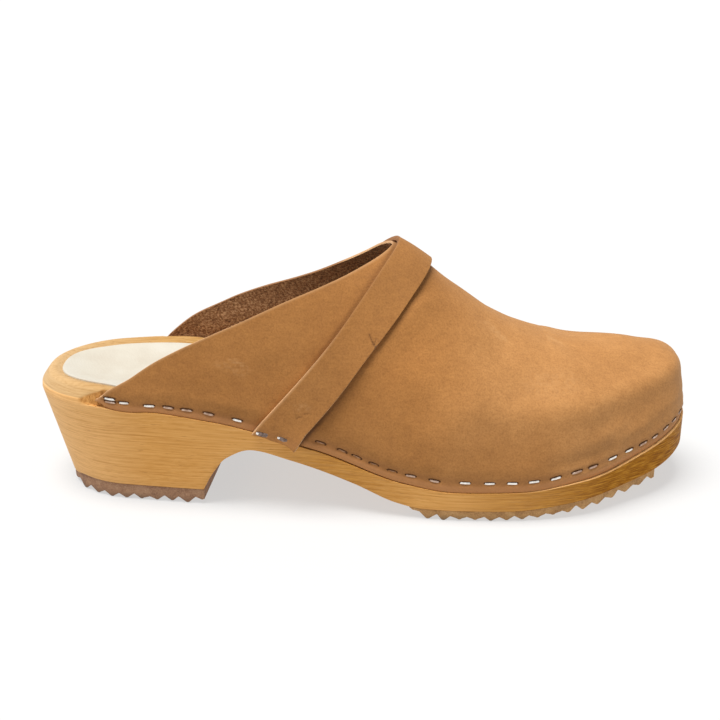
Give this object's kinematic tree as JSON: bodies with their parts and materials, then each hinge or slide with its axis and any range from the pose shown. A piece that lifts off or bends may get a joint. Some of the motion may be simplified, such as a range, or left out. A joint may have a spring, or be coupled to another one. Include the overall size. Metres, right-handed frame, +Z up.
{
  "type": "leather clog",
  "caption": "Right-foot clog: a seamless tan nubuck upper with an instep strap, open at the back, stapled to a one-piece wooden sole with a block heel and ribbed rubber tread.",
  "frame": {"origin": "middle of the clog's plan box, on the floor that it stands on", "axes": "+X from heel to toe, +Y to the inner side of the foot, +Z up"},
  "size_m": [0.262, 0.0932, 0.1009],
  "materials": {
    "alder": "thin clear lacquer",
    "nubuck": "oiled nubuck, raw cut edges",
    "rubber": "matte",
    "pad": "satin",
    "staple_steel": "bright wire"
  },
  "bodies": {
    "root": {"wood_sole": "alder", "upper": "nubuck", "strap": "nubuck", "heel_rubber": "rubber", "forefoot_rubber": "rubber", "heel_pad": "pad"}
  },
  "joints": []
}
